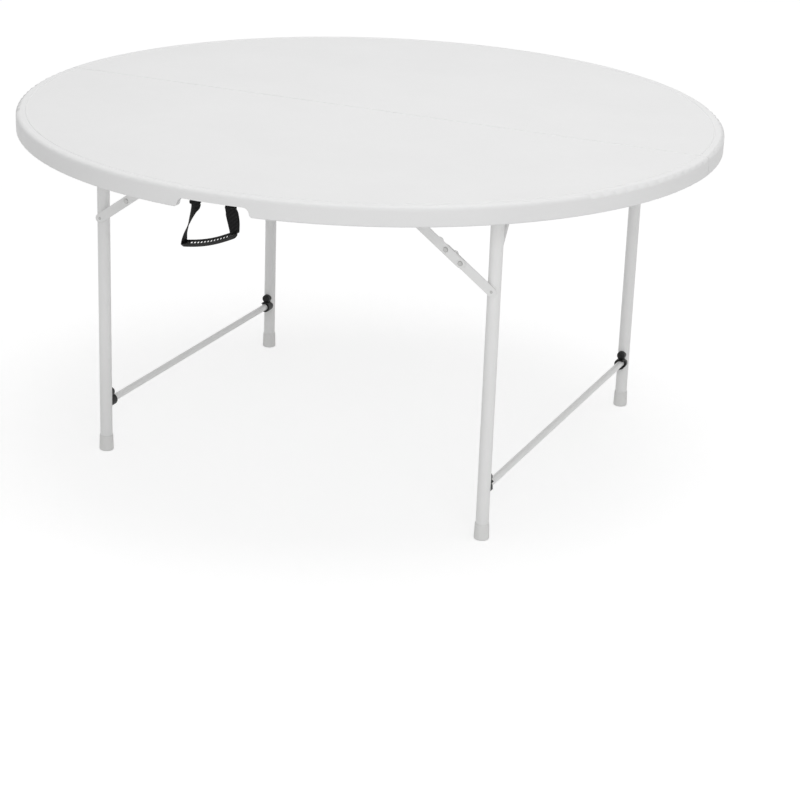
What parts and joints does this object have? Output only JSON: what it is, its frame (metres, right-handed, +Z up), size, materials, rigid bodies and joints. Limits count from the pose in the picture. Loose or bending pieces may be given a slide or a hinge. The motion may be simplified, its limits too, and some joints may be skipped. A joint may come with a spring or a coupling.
{
  "type": "round folding table",
  "caption": "Round moulded plastic table top in two hinged halves on folding tubular steel legs with crossbars, folding stays and carrying handles.",
  "frame": {"origin": "on the floor under the middle of the open table", "axes": "+Z up, +X along the seam between the two halves, near half with its handle on the -Y side"},
  "size_m": [1.524, 1.53, 0.7448],
  "materials": {
    "top_plastic": "fine moulded grain, satin",
    "white_steel": "powder coat, satin",
    "foot_plastic": "smooth moulded",
    "black_plastic": "moulded, satin",
    "webbing": "woven polypropylene",
    "bare_steel": "zinc plated"
  },
  "bodies": {
    "top": {"top_half_near": "top_plastic", "handle_anchors_near": "webbing", "seam_hinge_leaf_left_near": "bare_steel", "pivot_clamps_left_near": "black_plastic", "stay_bracket_left_near": "bare_steel", "seam_hinge_leaf_right_near": "bare_steel", "pivot_clamps_right_near": "black_plastic", "stay_bracket_right_near": "bare_steel", "top_half_far": "top_plastic", "handle_anchors_far": "webbing", "seam_hinge_leaf_left_far": "bare_steel", "pivot_clamps_left_far": "black_plastic", "stay_bracket_left_far": "bare_steel", "seam_hinge_leaf_right_far": "bare_steel", "pivot_clamps_right_far": "black_plastic", "stay_bracket_right_far": "bare_steel", "seam_hinge_pins": "bare_steel", "stay_pins": "bare_steel", "underside_screws": "bare_steel"},
    "handle_near": {"handle_straps_near": "webbing", "handle_grip_near": "black_plastic"},
    "leg_frame_left": {"leg_left_near": "white_steel", "foot_cap_left_near": "foot_plastic", "bar_clip_left_near": "black_plastic", "leg_left_far": "white_steel", "foot_cap_left_far": "foot_plastic", "bar_clip_left_far": "black_plastic", "leg_rivets_left": "bare_steel"},
    "lower_link_left_near": {"stay_lower_link_left_near": "white_steel"},
    "upper_link_left_near": {"stay_upper_link_left_near": "white_steel", "stay_joint_rivets_left_near": "bare_steel"},
    "leg_frame_right": {"leg_right_near": "white_steel", "foot_cap_right_near": "foot_plastic", "bar_clip_right_near": "black_plastic", "leg_right_far": "white_steel", "foot_cap_right_far": "foot_plastic", "bar_clip_right_far": "black_plastic", "leg_rivets_right": "bare_steel"},
    "lower_link_right_near": {"stay_lower_link_right_near": "white_steel"},
    "upper_link_right_near": {"stay_upper_link_right_near": "white_steel", "stay_joint_rivets_right_near": "bare_steel"},
    "handle_far": {"handle_straps_far": "webbing", "handle_grip_far": "black_plastic"},
    "lower_link_left_far": {"stay_lower_link_left_far": "white_steel"},
    "upper_link_left_far": {"stay_upper_link_left_far": "white_steel", "stay_joint_rivets_left_far": "bare_steel"},
    "lower_link_right_far": {"stay_lower_link_right_far": "white_steel"},
    "upper_link_right_far": {"stay_upper_link_right_far": "white_steel", "stay_joint_rivets_right_far": "bare_steel"},
    "crossbar_left": {"crossbar_left": "white_steel"},
    "crossbar_right": {"crossbar_right": "white_steel"}
  },
  "joints": [
    {"name": "leg_fold_left", "type": "hinge", "parent": "top", "child": "leg_frame_left", "pos_m": [-0.44, 0, 0.719], "axis": [0, -1, 0], "range_deg": [0, 87.5]},
    {"name": "crossbar_unclip_left", "type": "slide", "parent": "leg_frame_left", "child": "crossbar_left", "axis": [-1, 0, 0], "range_m": [0, 0.06]},
    {"name": "stay_lower_left_near", "type": "hinge", "parent": "leg_frame_left", "child": "lower_link_left_near", "pos_m": [-0.44, -0.391, 0.534], "axis": [0, -1, 0], "range_deg": [0, 54.27]},
    {"name": "stay_upper_left_near", "type": "hinge", "parent": "top", "child": "upper_link_left_near", "pos_m": [-0.18537, -0.391, 0.719], "axis": [0, -1, 0], "range_deg": [-35.03, 0]},
    {"name": "stay_lower_left_far", "type": "hinge", "parent": "leg_frame_left", "child": "lower_link_left_far", "pos_m": [-0.44, 0.391, 0.534], "axis": [0, -1, 0], "range_deg": [0, 54.27]},
    {"name": "stay_upper_left_far", "type": "hinge", "parent": "top", "child": "upper_link_left_far", "pos_m": [-0.18537, 0.391, 0.719], "axis": [0, -1, 0], "range_deg": [-35.03, 0]},
    {"name": "leg_fold_right", "type": "hinge", "parent": "top", "child": "leg_frame_right", "pos_m": [0.474, 0, 0.719], "axis": [0, 1, 0], "range_deg": [0, 86.5]},
    {"name": "crossbar_unclip_right", "type": "slide", "parent": "leg_frame_right", "child": "crossbar_right", "axis": [1, 0, 0], "range_m": [0, 0.06]},
    {"name": "stay_lower_right_near", "type": "hinge", "parent": "leg_frame_right", "child": "lower_link_right_near", "pos_m": [0.474, -0.435, 0.534], "axis": [0, 1, 0], "range_deg": [0, 53.76]},
    {"name": "stay_upper_right_near", "type": "hinge", "parent": "top", "child": "upper_link_right_near", "pos_m": [0.21937, -0.435, 0.719], "axis": [0, 1, 0], "range_deg": [-35.03, 0]},
    {"name": "stay_lower_right_far", "type": "hinge", "parent": "leg_frame_right", "child": "lower_link_right_far", "pos_m": [0.474, 0.435, 0.534], "axis": [0, 1, 0], "range_deg": [0, 53.76]},
    {"name": "stay_upper_right_far", "type": "hinge", "parent": "top", "child": "upper_link_right_far", "pos_m": [0.21937, 0.435, 0.719], "axis": [0, 1, 0], "range_deg": [-35.03, 0]},
    {"name": "handle_swing_near", "type": "hinge", "parent": "top", "child": "handle_near", "pos_m": [0.022, -0.755, 0.7197], "axis": [-1, 0, 0], "range_deg": [-40, 90]},
    {"name": "handle_swing_far", "type": "hinge", "parent": "top", "child": "handle_far", "pos_m": [0.022, 0.755, 0.7197], "axis": [1, 0, 0], "range_deg": [-40, 90]}
  ],
  "couplings": [
    {"joint": "stay_lower_left_near", "follows": "leg_fold_left", "ratio": 0.62008},
    {"joint": "stay_upper_left_near", "follows": "leg_fold_left", "ratio": -0.40027},
    {"joint": "stay_lower_left_far", "follows": "leg_fold_left", "ratio": 0.62008},
    {"joint": "stay_upper_left_far", "follows": "leg_fold_left", "ratio": -0.40027},
    {"joint": "stay_lower_right_near", "follows": "leg_fold_right", "ratio": 0.62134},
    {"joint": "stay_upper_right_near", "follows": "leg_fold_right", "ratio": -0.4049},
    {"joint": "stay_lower_right_far", "follows": "leg_fold_right", "ratio": 0.62134},
    {"joint": "stay_upper_right_far", "follows": "leg_fold_right", "ratio": -0.4049}
  ]
}
